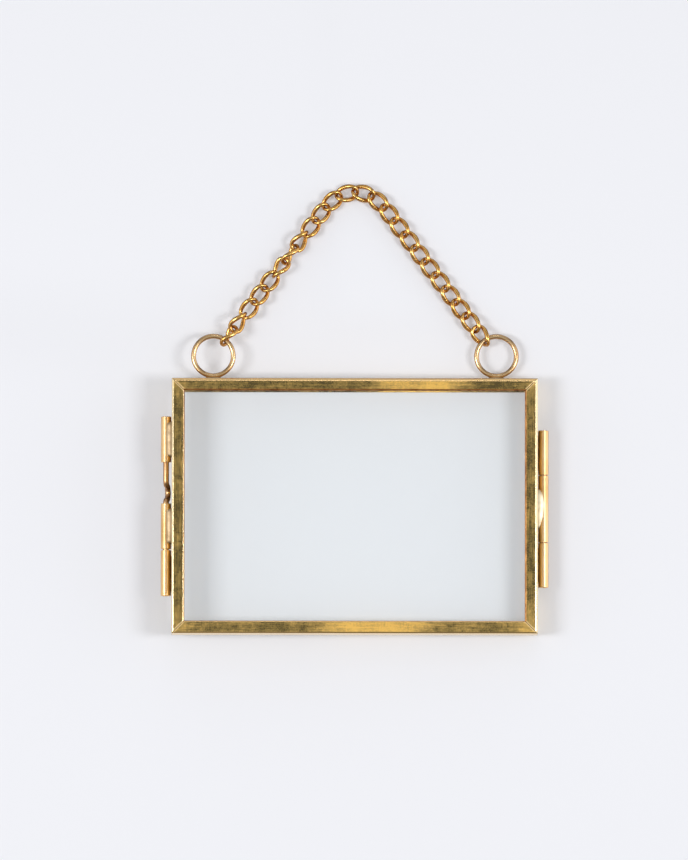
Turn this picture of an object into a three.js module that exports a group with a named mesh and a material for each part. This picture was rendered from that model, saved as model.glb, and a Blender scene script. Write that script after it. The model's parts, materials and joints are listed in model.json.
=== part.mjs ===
// Hanging brass picture frame, in millimetres, with +Z up and its front towards -Y.
// Two glazed leaves close on each other like a book. A barrel hinge joins them on the right, a sliding
// wire bolt locks them on the left, and a curb chain carries the back leaf by two soldered rings.
// The origin is where the two top links cross, which is where a nail or hook carries the chain.
import * as THREE from 'three';

// Frame
const FRAME_WIDTH = 100;
const FRAME_HEIGHT = 70;
const PARTING_GAP = 0.3;

// Folded sheet of the rails
const SHEET = 0.5;
const FLANGE_WIDTH = 3.5;
const PARTING_FLANGE_WIDTH = 2.4;
const HEM_LIP = 0.4;
const FOLD_RADIUS = 0.6;
const HEM_RADIUS = 0.4;
const FOLD_STEPS = 3;
const MITRE_GAP = 0.2;

// Glass panes
const GLASS_THICKNESS = 2;
const GLASS_CLEARANCE = 0.2;
const GLASS_EDGE_CLEARANCE = 0.3;

// Brass tube of the hinge and of the latch
const TUBE_WALL = 0.45;
const TUBE_SEAT_GAP = 0.15;
const TUBE_SIDES = 20;

// Hinge
const KNUCKLE_OUTER_LENGTH = 12.2;
const KNUCKLE_MIDDLE_LENGTH = 18.3;
const KNUCKLE_GAP = 0.15;
const HINGE_DROP = 0.65;
const PIN_CLEARANCE = 0.1;
const PIN_RECESS = 0.4;

// Latch
const LATCH_TUBE_LENGTH = 12.5;
const LATCH_SPLIT = 0.3;
const BOLT_WIRE = 1.56;
const BOLT_TRAVEL = 4.6;
const BOLT_RUNNING_CLEARANCE = 0.17;
const BOLT_STOP_CLEARANCE = 0.1;
const BOLT_RELEASE = 0.2;
const BOLT_TOP_RECESS = 0.6;
const THUMB_LOOP_REACH = 3;
const THUMB_LOOP_LEAN = 0.5;
const THUMB_LOOP_HEIGHT = 3.85;
const THUMB_LOOP_UPPER_LEG = 1.65;
const THUMB_LOOP_LOWER_LEG = 1;
const BOLT_SIDES = 10;
const BOLT_STEPS = 64;

// Solder
const SOLDER_GAP = 0.08;
const SOLDER_INSET = 1.25;
const MIDDLE_SOLDER_INSET = 3.6;
const SOLDER_RUNOUT = 0.52;
const SOLDER_ROOT_ANGLE = 30;
const SOLDER_CROWN_ANGLE = 85;
const SOLDER_STEPS = 5;
const RING_SOLDER_WIDTH = 1.6;
const RING_SOLDER_LENGTH = 4.6;
const RING_SOLDER_THICKNESS = 0.14;

// Rings
const RING_DIAMETER = 12.2;
const RING_WIRE = 1.33;
const RING_INSET = 11.3;
const RING_SIDES = 10;
const RING_STEPS = 32;

// Chain
const LINKS_PER_STRAND = 12;
const LINK_PITCH = 4.66;
const LINK_OPENING = 2.7;
const LINK_WIRE = 0.95;
const LINK_CLEARANCE = 0.3;
const LINK_TWIST_SPARE = 0.175;
const APEX_RADIUS = 9.5;
const LINK_SIDES = 8;
const LINK_STEPS = 20;
// The chain lies flat apart from a turn at each ring and one half twist in the left strand:
// how far each link is rolled about the strand, in degrees, counted from its ring.
const ROLLS_FROM_LEFT_RING = [100, 50, 5, 0, 0, -45, -90, -135];
const ROLLS_FROM_RIGHT_RING = [30, 10];
const STRAND_FIT_ROUNDS = 60;

// Sizes that follow from the ones above
const HALF_WIDTH = FRAME_WIDTH / 2;
const HALF_HEIGHT = FRAME_HEIGHT / 2;
const HEM_DEPTH = SHEET + HEM_LIP;
const LEAF_DEPTH = HEM_DEPTH + 2 * GLASS_CLEARANCE + GLASS_THICKNESS + SHEET;
const LEAF_FACE = PARTING_GAP / 2 + LEAF_DEPTH;
const TUBE_BORE = BOLT_WIRE + 2 * BOLT_RUNNING_CLEARANCE;
const TUBE_DIAMETER = TUBE_BORE + 2 * TUBE_WALL;
const PIN_DIAMETER = TUBE_BORE - 2 * PIN_CLEARANCE;
const TUBE_AXIS = HALF_WIDTH + TUBE_SEAT_GAP + TUBE_DIAMETER / 2;
const THUMB_LOOP_LEGS = THUMB_LOOP_UPPER_LEG + THUMB_LOOP_HEIGHT + THUMB_LOOP_LOWER_LEG;
const FINGER_GAP = BOLT_TRAVEL + 2 * BOLT_STOP_CLEARANCE + THUMB_LOOP_LEGS;
const BOLT_ENGAGEMENT = BOLT_TRAVEL - BOLT_RELEASE;
const LATCH_HALF = (3 * LATCH_TUBE_LENGTH + FINGER_GAP + LATCH_SPLIT) / 2;
const UPPER_GUIDE_BOTTOM = LATCH_HALF - LATCH_TUBE_LENGTH;
const LOWER_GUIDE_TOP = UPPER_GUIDE_BOTTOM - FINGER_GAP;
const KEEPER_TOP = LOWER_GUIDE_TOP - LATCH_TUBE_LENGTH - LATCH_SPLIT;
const RING_SEAT_GAP = 2 * SOLDER_GAP + RING_SOLDER_THICKNESS;
const RING_RADIUS = (RING_DIAMETER - RING_WIRE) / 2;
const RING_X = HALF_WIDTH - RING_INSET;
const RING_PLANE = (PARTING_GAP + LEAF_DEPTH) / 2;
const RING_Z = HALF_HEIGHT + RING_SEAT_GAP + RING_DIAMETER / 2;
const LINK_REACH = (LINK_PITCH + LINK_WIRE + LINK_CLEARANCE) / 2;
const LINK_SPREAD = (LINK_OPENING + LINK_WIRE) / 2;
const LINK_TWIST = (LINK_WIRE + LINK_CLEARANCE) / 2 + LINK_TWIST_SPARE;

const sheetBrass = new THREE.MeshStandardMaterial({ color: 0x9c8443, roughness: 0.34, metalness: 1 });
const tubeBrass = new THREE.MeshStandardMaterial({ color: 0xd0a154, roughness: 0.22, metalness: 1 });
const wireBrass = new THREE.MeshStandardMaterial({ color: 0xc0913f, roughness: 0.24, metalness: 1 });
const solderMetal = new THREE.MeshStandardMaterial({ color: 0xcdbb9c, roughness: 0.5, metalness: 1 });
const paneGlass = new THREE.MeshStandardMaterial({
  color: 0xe4ecec, roughness: 0.03, metalness: 0, transparent: true, opacity: 0.25,
});

function named(name, geometry, material) {
  const mesh = new THREE.Mesh(geometry, material);
  mesh.name = name;
  return mesh;
}

// Section of a rail: x runs inwards from the outer wall, y runs from the visible face into the leaf.
function railSection() {
  const foldCentre = FOLD_RADIUS;
  const hemCentre = FLANGE_WIDTH - HEM_RADIUS;
  const section = new THREE.Shape();
  section.moveTo(0, LEAF_DEPTH);
  section.lineTo(0, foldCentre);
  section.absarc(foldCentre, foldCentre, FOLD_RADIUS, Math.PI, 1.5 * Math.PI, false);
  section.lineTo(hemCentre, 0);
  section.absarc(hemCentre, HEM_RADIUS, HEM_RADIUS, -0.5 * Math.PI, 0, false);
  section.lineTo(FLANGE_WIDTH, HEM_DEPTH);
  section.lineTo(FLANGE_WIDTH - SHEET, HEM_DEPTH);
  section.lineTo(FLANGE_WIDTH - SHEET, SHEET);
  section.lineTo(SHEET, SHEET);
  section.lineTo(SHEET, LEAF_DEPTH - SHEET);
  section.lineTo(PARTING_FLANGE_WIDTH, LEAF_DEPTH - SHEET);
  section.lineTo(PARTING_FLANGE_WIDTH, LEAF_DEPTH);
  return section;
}

// A rail along X with both ends cut at 45 degrees, its outer wall on z = 0 and its face on y = 0.
function mitredRail(length) {
  const geometry = new THREE.ExtrudeGeometry(railSection(), {
    depth: 1, steps: 1, bevelEnabled: false, curveSegments: FOLD_STEPS,
  });
  const position = geometry.attributes.position;
  for (let i = 0; i < position.count; i += 1) {
    const inward = position.getX(i);
    const depth = position.getY(i);
    const end = position.getZ(i) > 0.5 ? 1 : -1;
    position.setXYZ(i, end * (length / 2 - inward - MITRE_GAP / 2), depth, -inward);
  }
  geometry.computeVertexNormals();
  return geometry;
}

// One glazed leaf with its visible face on y = 0, looking towards -Y.
function glazedLeaf(leafName, leftName, rightName) {
  const leaf = new THREE.Group();
  const rails = [
    { side: 'top', length: FRAME_WIDTH, out: HALF_HEIGHT, turn: 0 },
    { side: rightName, length: FRAME_HEIGHT, out: HALF_WIDTH, turn: Math.PI / 2 },
    { side: 'bottom', length: FRAME_WIDTH, out: HALF_HEIGHT, turn: Math.PI },
    { side: leftName, length: FRAME_HEIGHT, out: HALF_WIDTH, turn: -Math.PI / 2 },
  ];
  for (const { side, length, out, turn } of rails) {
    const rail = named(`${leafName}_rail_${side}`, mitredRail(length), sheetBrass);
    rail.rotation.y = turn;
    rail.position.set(out * Math.sin(turn), 0, out * Math.cos(turn));
    leaf.add(rail);
  }
  const margin = 2 * (SHEET + GLASS_EDGE_CLEARANCE);
  const pane = new THREE.BoxGeometry(FRAME_WIDTH - margin, GLASS_THICKNESS, FRAME_HEIGHT - margin);
  const glass = named(`${leafName}_glass`, pane, paneGlass);
  glass.position.y = HEM_DEPTH + GLASS_CLEARANCE + GLASS_THICKNESS / 2;
  leaf.add(glass);
  return leaf;
}

// A brass tube along Z from its lower end at z = bottom.
function tube(name, x, bottom, length) {
  const bore = TUBE_BORE / 2;
  const outer = TUBE_DIAMETER / 2;
  const wall = [[bore, 0], [outer, 0], [outer, length], [bore, length], [bore, 0]];
  const geometry = new THREE.LatheGeometry(wall.map(([r, h]) => new THREE.Vector2(r, h)), TUBE_SIDES);
  geometry.rotateX(Math.PI / 2);
  const mesh = named(name, geometry, tubeBrass);
  mesh.position.set(x, 0, bottom);
  return mesh;
}

// The fillet of solder in the groove between a tube and the wall it is seated on.
// side is +1 on the right wall and -1 on the left wall, face is -1 for the front leaf and +1 for the back.
// It runs from z = bottom over the given length.
function tubeSolder(name, side, face, bottom, length) {
  const axis = TUBE_SEAT_GAP + TUBE_DIAMETER / 2;
  const reach = TUBE_DIAMETER / 2 + SOLDER_GAP;
  const root = THREE.MathUtils.degToRad(SOLDER_ROOT_ANGLE);
  const crown = THREE.MathUtils.degToRad(SOLDER_CROWN_ANGLE);
  const outline = [[SOLDER_GAP, reach * Math.sin(root)]];
  for (let i = 0; i <= SOLDER_STEPS; i += 1) {
    const angle = root + (crown - root) * (i / SOLDER_STEPS);
    outline.push([axis - reach * Math.cos(angle), reach * Math.sin(angle)]);
  }
  outline.push([SOLDER_GAP, reach * Math.sin(crown) + SOLDER_RUNOUT]);
  const shape = new THREE.Shape(outline.map(([u, v]) => new THREE.Vector2(side * u, face * v)));
  const geometry = new THREE.ExtrudeGeometry(shape, { depth: length, steps: 1, bevelEnabled: false });
  const mesh = named(name, geometry, solderMetal);
  mesh.position.set(side * HALF_WIDTH, 0, bottom);
  return mesh;
}

function hinge() {
  const group = new THREE.Group();
  const middleBottom = -HINGE_DROP - KNUCKLE_MIDDLE_LENGTH / 2;
  const topBottom = middleBottom + KNUCKLE_MIDDLE_LENGTH + KNUCKLE_GAP;
  const bottomBottom = middleBottom - KNUCKLE_GAP - KNUCKLE_OUTER_LENGTH;
  const pinLength = topBottom + KNUCKLE_OUTER_LENGTH - bottomBottom - 2 * PIN_RECESS;
  const pinGeometry = new THREE.CylinderGeometry(PIN_DIAMETER / 2, PIN_DIAMETER / 2, pinLength, TUBE_SIDES);
  pinGeometry.rotateX(Math.PI / 2);
  const pin = named('hinge_pin', pinGeometry, wireBrass);
  pin.position.set(TUBE_AXIS, 0, bottomBottom + PIN_RECESS + pinLength / 2);
  group.add(pin);
  const knuckles = [
    { place: 'top', bottom: topBottom, length: KNUCKLE_OUTER_LENGTH, face: 1, inset: SOLDER_INSET },
    {
      place: 'middle', bottom: middleBottom, length: KNUCKLE_MIDDLE_LENGTH, face: -1,
      inset: MIDDLE_SOLDER_INSET,
    },
    { place: 'bottom', bottom: bottomBottom, length: KNUCKLE_OUTER_LENGTH, face: 1, inset: SOLDER_INSET },
  ];
  for (const { place, bottom, length, face, inset } of knuckles) {
    group.add(tube(`hinge_knuckle_${place}`, TUBE_AXIS, bottom, length));
    group.add(tubeSolder(`hinge_solder_${place}`, 1, face, bottom + inset, length - 2 * inset));
  }
  return group;
}

// Centre line of the bolt: straight through the guides, with a thumb loop bent backwards between them.
function boltLine() {
  const lowElbow = LOWER_GUIDE_TOP + BOLT_STOP_CLEARANCE;
  const highElbow = UPPER_GUIDE_BOTTOM - BOLT_TRAVEL - BOLT_STOP_CLEARANCE;
  const lowLeg = lowElbow + THUMB_LOOP_LOWER_LEG;
  const highLeg = highElbow - THUMB_LOOP_UPPER_LEG;
  const reach = THUMB_LOOP_REACH;
  const at = (share, z) => new THREE.Vector3(share * THUMB_LOOP_LEAN, share * reach, z);
  const halfway = 0.5;
  const turnStart = 0.75;
  const line = new THREE.CurvePath();
  const top = at(0, LATCH_HALF - BOLT_TRAVEL - BOLT_TOP_RECESS);
  const tip = at(0, KEEPER_TOP - BOLT_ENGAGEMENT);
  const middle = (lowLeg + highLeg) / 2;
  line.add(new THREE.LineCurve3(top, at(0, highElbow)));
  line.add(new THREE.QuadraticBezierCurve3(at(0, highElbow), at(0, highLeg), at(halfway, highLeg)));
  line.add(new THREE.CubicBezierCurve3(
    at(halfway, highLeg), at(turnStart, highLeg), at(1, (highLeg + middle) / 2), at(1, middle)));
  line.add(new THREE.CubicBezierCurve3(
    at(1, middle), at(1, (lowLeg + middle) / 2), at(turnStart, lowLeg), at(halfway, lowLeg)));
  line.add(new THREE.QuadraticBezierCurve3(at(halfway, lowLeg), at(0, lowLeg), at(0, lowElbow)));
  line.add(new THREE.LineCurve3(at(0, lowElbow), tip));
  return line;
}

function roundSection(diameter, sides) {
  const section = new THREE.Shape();
  for (let i = 0; i < sides; i += 1) {
    const angle = (2 * Math.PI * i) / sides;
    const x = (diameter / 2) * Math.cos(angle);
    const y = (diameter / 2) * Math.sin(angle);
    if (i === 0) section.moveTo(x, y);
    else section.lineTo(x, y);
  }
  return section;
}

function latch() {
  const group = new THREE.Group();
  const solderLength = LATCH_TUBE_LENGTH - 2 * SOLDER_INSET;
  const tubes = [
    { name: 'guide_upper', bottom: UPPER_GUIDE_BOTTOM, face: -1 },
    { name: 'guide_lower', bottom: LOWER_GUIDE_TOP - LATCH_TUBE_LENGTH, face: -1 },
    { name: 'keeper', bottom: KEEPER_TOP - LATCH_TUBE_LENGTH, face: 1 },
  ];
  for (const { name, bottom, face } of tubes) {
    group.add(tube(`latch_${name}`, -TUBE_AXIS, bottom, LATCH_TUBE_LENGTH));
    group.add(tubeSolder(`latch_solder_${name}`, -1, face, bottom + SOLDER_INSET, solderLength));
  }
  const geometry = new THREE.ExtrudeGeometry(roundSection(BOLT_WIRE, BOLT_SIDES), {
    extrudePath: boltLine(), steps: BOLT_STEPS, bevelEnabled: false,
  });
  const bolt = named('latch_bolt', geometry, wireBrass);
  bolt.position.x = -TUBE_AXIS;
  group.add(bolt);
  return group;
}

// A hanging ring standing on the top wall of the back leaf, with the solder under it.
function hangingRing(name, side) {
  const group = new THREE.Group();
  const torus = new THREE.TorusGeometry(RING_RADIUS, RING_WIRE / 2, RING_SIDES, RING_STEPS);
  torus.rotateX(Math.PI / 2);
  const ring = named(`ring_${name}`, torus, wireBrass);
  group.add(ring);

  const outer = RING_DIAMETER / 2 + SOLDER_GAP;
  const base = HALF_HEIGHT + SOLDER_GAP - RING_Z;
  const half = RING_SOLDER_LENGTH / 2;
  const saddle = new THREE.Shape();
  saddle.moveTo(-half, base);
  saddle.lineTo(half, base);
  for (let i = 0; i <= 2 * SOLDER_STEPS; i += 1) {
    const x = half * (1 - i / SOLDER_STEPS);
    saddle.lineTo(x, -Math.sqrt(outer * outer - x * x));
  }
  const geometry = new THREE.ExtrudeGeometry(saddle, {
    depth: RING_SOLDER_WIDTH, steps: 1, bevelEnabled: false,
  });
  geometry.translate(0, 0, -RING_SOLDER_WIDTH / 2);
  geometry.rotateX(Math.PI / 2);
  group.add(named(`ring_solder_${name}`, geometry, solderMetal));
  group.position.set(side * RING_X, RING_PLANE, RING_Z);
  return group;
}

// Centre line of one curb link: an oval whose two ends are twisted out of its plane.
class CurbLink extends THREE.Curve {
  getPoint(t, target = new THREE.Vector3()) {
    const turn = 2 * Math.PI * t;
    const lift = LINK_TWIST * Math.sin(2 * turn);
    return target.set(LINK_REACH * Math.cos(turn), LINK_SPREAD * Math.sin(turn), lift);
  }
}

// The right strand from the crossing at the top: chords of one pitch round the apex, then straight down.
// slope is the angle of the straight part below the horizontal.
function layStrand(slope) {
  const step = 2 * Math.asin(LINK_PITCH / 2 / APEX_RADIUS);
  const crossings = [new THREE.Vector2(0, 0)];
  for (let i = 0; i < LINKS_PER_STRAND; i += 1) {
    const angle = -Math.min((i + 0.5) * step, slope);
    const chord = new THREE.Vector2(Math.cos(angle), Math.sin(angle)).multiplyScalar(LINK_PITCH);
    crossings.push(crossings[i].clone().add(chord));
  }
  const seat = RING_RADIUS - (RING_WIRE + LINK_CLEARANCE) / 2;
  const pull = new THREE.Vector2(Math.cos(slope), -Math.sin(slope));
  const ringCentre = crossings[LINKS_PER_STRAND].clone().addScaledVector(pull, seat);
  return { crossings, ringCentre };
}

// The strand whose last link reaches its ring: a steeper strand ends nearer the middle.
function fitStrand() {
  let flat = 0;
  let steep = Math.PI / 2;
  for (let i = 0; i < STRAND_FIT_ROUNDS; i += 1) {
    const slope = (flat + steep) / 2;
    if (layStrand(slope).ringCentre.x > RING_X) flat = slope;
    else steep = slope;
  }
  return layStrand(steep);
}

function chain(crossings) {
  const group = new THREE.Group();
  const left = crossings.slice(1).reverse().map((p) => new THREE.Vector3(-p.x, 0, p.y));
  const right = crossings.map((p) => new THREE.Vector3(p.x, 0, p.y));
  const points = [...left, ...right];
  const towardsFront = new THREE.Vector3(0, -1, 0);
  for (let i = 1; i < points.length; i += 1) {
    const geometry = new THREE.TubeGeometry(new CurbLink(), LINK_STEPS, LINK_WIRE / 2, LINK_SIDES, true);
    const link = named(`chain_link_${String(i).padStart(2, '0')}`, geometry, wireBrass);
    const along = points[i].clone().sub(points[i - 1]).normalize();
    const across = towardsFront.clone().cross(along);
    link.quaternion.setFromRotationMatrix(new THREE.Matrix4().makeBasis(along, across, towardsFront));
    const roll = ROLLS_FROM_LEFT_RING[i - 1] ?? ROLLS_FROM_RIGHT_RING[points.length - 1 - i] ?? 0;
    link.rotateX(THREE.MathUtils.degToRad(roll));
    link.position.copy(points[i]).add(points[i - 1]).multiplyScalar(0.5);
    group.add(link);
  }
  return group;
}

const strand = fitStrand();

const frame = new THREE.Group();
const frontLeaf = glazedLeaf('front', 'left', 'right');
frontLeaf.position.y = -LEAF_FACE;
const backLeaf = glazedLeaf('back', 'right', 'left');
backLeaf.rotation.z = Math.PI;
backLeaf.position.y = LEAF_FACE;
frame.add(frontLeaf, backLeaf, hinge(), latch(), hangingRing('left', -1), hangingRing('right', 1));
frame.position.set(0, -RING_PLANE, strand.ringCentre.y - RING_Z);

const pictureFrame = new THREE.Group();
pictureFrame.add(frame, chain(strand.crossings));

export default pictureFrame;
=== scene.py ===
"""Looks of a small hanging picture frame: folded brass rails round two panes of glass, a barrel hinge,
a sliding wire bolt, soldered rings and a curb chain.

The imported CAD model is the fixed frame. Every piece here is built in metres in that same frame, rides on
a CAD body and stands for one CAD node.
"""

import json
import logging
import math
from dataclasses import dataclass, field
from enum import Enum, StrEnum
from typing import Any, Sequence

import bmesh
import bpy
import numpy as np
from mathutils import Matrix, Vector, noise
from mathutils.geometry import interpolate_bezier

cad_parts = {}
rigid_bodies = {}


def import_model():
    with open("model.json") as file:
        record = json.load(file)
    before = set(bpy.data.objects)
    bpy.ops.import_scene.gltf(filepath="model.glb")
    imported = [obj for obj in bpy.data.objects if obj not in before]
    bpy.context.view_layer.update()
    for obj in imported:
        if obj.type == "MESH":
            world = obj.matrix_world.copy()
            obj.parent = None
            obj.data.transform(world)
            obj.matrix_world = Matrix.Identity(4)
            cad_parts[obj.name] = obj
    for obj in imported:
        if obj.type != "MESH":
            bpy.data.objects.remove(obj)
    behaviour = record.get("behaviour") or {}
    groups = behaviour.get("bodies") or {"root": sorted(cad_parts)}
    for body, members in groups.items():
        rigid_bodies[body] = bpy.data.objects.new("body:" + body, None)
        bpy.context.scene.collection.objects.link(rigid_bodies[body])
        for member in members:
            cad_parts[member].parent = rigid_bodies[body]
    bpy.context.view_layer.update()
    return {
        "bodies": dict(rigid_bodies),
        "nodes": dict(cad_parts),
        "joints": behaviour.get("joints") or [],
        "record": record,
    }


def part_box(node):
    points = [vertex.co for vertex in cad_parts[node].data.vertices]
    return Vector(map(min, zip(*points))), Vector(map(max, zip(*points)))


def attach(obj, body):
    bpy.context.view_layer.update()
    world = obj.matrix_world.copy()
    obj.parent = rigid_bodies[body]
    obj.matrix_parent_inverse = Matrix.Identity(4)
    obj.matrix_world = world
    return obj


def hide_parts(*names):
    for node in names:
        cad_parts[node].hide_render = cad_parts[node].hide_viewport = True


Tree = bpy.types.NodeTree
Socket = bpy.types.NodeSocket
Material = bpy.types.Material
Mesh = bmesh.types.BMesh
Colour = tuple[float, float, float, float]
Span = tuple[float, float]

MM = 0.001
# Points closer together than this are one point.
TOUCHING = 1e-7
# Edges that turn further than this shade sharp.
SHARP_DEG = 50.0
# Where a Mix node takes what lies under and over, and gives the result: first for colours, then for numbers.
COLOUR_UNDER = 6
COLOUR_OVER = 7
COLOUR_MIXED = 2
NUMBER_UNDER = 2
NUMBER_OVER = 3
NUMBER_MIXED = 0
LOG = logging.getLogger("picture_frame")


class Run(Enum):
    """Which way a strip, tube or wire runs, as the turn that lays its pattern along it."""

    ACROSS = (0.0, 0.0, 0.0)
    UPRIGHT = (0.0, math.pi / 2, 0.0)


class Leaf(StrEnum):
    """The two leaves of the frame, as their nodes are named."""

    BACK = "back"
    FRONT = "front"


class Side(StrEnum):
    """The four sides of a leaf, as their nodes are named."""

    TOP = "top"
    RIGHT = "right"
    BOTTOM = "bottom"
    LEFT = "left"


def linear(hex_colour: str) -> Colour:
    """Turn an sRGB colour into the linear one that shaders work in.

    Args:
        hex_colour: The colour as "#rrggbb".

    Returns:
        Linear red, green, blue and an alpha of 1.
    """
    def channel(start: int) -> float:
        """Give one channel of the colour as a linear number."""
        value = int(hex_colour[start:start + 2], 16) / 255
        return value / 12.92 if value <= 0.04045 else ((value + 0.055) / 1.055) ** 2.4

    return channel(1), channel(3), channel(5), 1.0


def ease(value: float, span: Span) -> float:
    """Rise smoothly from 0 to 1 over a span.

    Args:
        value: Where on the span to look.
        span: Where the rise starts and ends.

    Returns:
        The share of the rise, 0 to 1.
    """
    share = min(max((value - span[0]) / (span[1] - span[0]), 0.0), 1.0)
    return share * share * (3 - 2 * share)


def per_metre(size_mm: float) -> float:
    """Give the texture scale at which one cell of a pattern measures size_mm."""
    return 1 / (size_mm * MM)


def add_node(
    tree: Tree, kind: str, settings: dict[Any, Any] | None = None, links: dict[Any, Socket] | None = None,
) -> bpy.types.Node:
    """Add a node with its settings and links.

    Args:
        tree: The node tree.
        kind: The node's type name, without the ShaderNode in front.
        settings: Values by input name or number, or by the node's own property name.
        links: Output sockets by the input name or number that they feed.

    Returns:
        The new node.
    """
    node = tree.nodes.new(f"ShaderNode{kind}")
    for key, value in (settings or {}).items():
        if isinstance(key, int) or key in node.inputs:
            node.inputs[key].default_value = value
        else:
            setattr(node, key, value)
    for key, source in (links or {}).items():
        tree.links.new(source, node.inputs[key])
    return node


def smooth(span: Span, result: Span = (0.0, 1.0)) -> dict[str, Any]:
    """Give the settings with which a Map Range node maps a value smoothly and holds it at the ends.

    Args:
        span: The value's two ends.
        result: What the two ends become.

    Returns:
        The settings.
    """
    return {
        "interpolation_type": "SMOOTHSTEP", "From Min": span[0], "From Max": span[1], "To Min": result[0],
        "To Max": result[1],
    }


def set_stops(ramp: bpy.types.Node, stops: Sequence[tuple[float, str]]) -> None:
    """Set the stops of a colour ramp.

    Args:
        ramp: The ramp's node.
        stops: Pairs of a position and its colour, in order.
    """
    elements = ramp.color_ramp.elements
    while len(elements) < len(stops):
        elements.new(0.5)
    for element, (position, colour) in zip(elements, stops):
        element.position = position
        element.color = linear(colour)


def weighed(tree: Tree, parts: Sequence[tuple[Socket, float]]) -> Socket:
    """Add up factors, each times its weight.

    Args:
        tree: The node tree.
        parts: Pairs of a factor and its weight.

    Returns:
        The sum.
    """
    total: Socket | None = None
    for factor, weight in parts:
        links = {0: factor} if total is None else {0: factor, 2: total}
        node = add_node(tree, "Math", {"operation": "MULTIPLY_ADD", 1: weight, 2: 0.0}, links)
        total = node.outputs["Value"]
    return total


def empty_tree(owner: Material | bpy.types.World) -> Tree:
    """Give a material or a world a node tree with nothing in it.

    Args:
        owner: The material or the world.

    Returns:
        The node tree.
    """
    owner.use_nodes = True
    owner.node_tree.nodes.clear()
    return owner.node_tree


def new_surface(name: str, settings: dict[Any, Any]) -> tuple[Material, bpy.types.Node]:
    """Start a material with one Principled shader.

    Args:
        name: The material's name.
        settings: Values for the shader's own sockets.

    Returns:
        The material and its shader node.
    """
    material = bpy.data.materials.new(name)
    tree = empty_tree(material)
    shader = add_node(tree, "BsdfPrincipled", settings)
    add_node(tree, "OutputMaterial", links={"Surface": shader.outputs["BSDF"]})
    return material, shader


@dataclass(frozen=True)
class Marks:
    """Marks in a skin: the size of one, their share of the skin and how far they are drawn out."""

    size_mm: float
    share: float = 0.0
    along: float = 1.0
    across: float = 1.0
    detail: float = 2.0
    roughness: float = 0.55
    warp: float = 0.0

    def add(self, tree: Tree, place: Socket) -> Socket:
        """Lay the marks on a surface.

        Args:
            tree: The node tree.
            place: The coordinates, with X along the strip.

        Returns:
            Their factor, from 0 to 1 around 0.5.
        """
        scale = (1 / self.along, 1 / self.across, 1 / self.across)
        drawn = add_node(tree, "Mapping", {"Scale": scale}, {"Vector": place})
        marks = add_node(
            tree, "TexNoise",
            {"Scale": per_metre(self.size_mm), "Detail": self.detail, "Roughness": self.roughness,
             "Distortion": self.warp},
            {"Vector": drawn.outputs["Vector"]})
        return marks.outputs["Fac"]


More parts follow.
